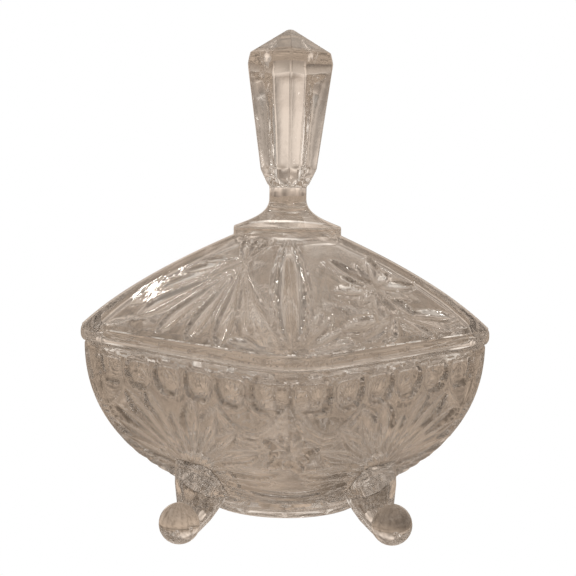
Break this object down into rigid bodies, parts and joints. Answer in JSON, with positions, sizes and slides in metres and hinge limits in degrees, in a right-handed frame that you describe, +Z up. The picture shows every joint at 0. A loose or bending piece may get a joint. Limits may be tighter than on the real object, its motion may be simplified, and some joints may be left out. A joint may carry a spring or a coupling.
{
  "type": "lidded candy dish",
  "caption": "Rounded-square footed dish of clear pressed glass with ball feet and a lift-off domed lid with a faceted finial.",
  "frame": {"origin": "on the table, under the middle of the dish", "axes": "+Z up along the finial; the straight sides of the rounded square run along X and Y, and a foot stands under the middle of each side"},
  "size_m": [0.1246, 0.1246, 0.189],
  "materials": {
    "clear_glass": "pressed and fire polished, smooth with a raised leaf and thumbprint relief"
  },
  "bodies": {
    "bowl": {"bowl": "clear_glass", "foot_front": "clear_glass", "foot_right": "clear_glass", "foot_back": "clear_glass", "foot_left": "clear_glass"},
    "lid": {"lid": "clear_glass", "finial": "clear_glass"}
  },
  "joints": [
    {"name": "lid_lift", "type": "slide", "parent": "bowl", "child": "lid", "axis": [0, 0, 1], "range_m": [0, 0.06]}
  ]
}
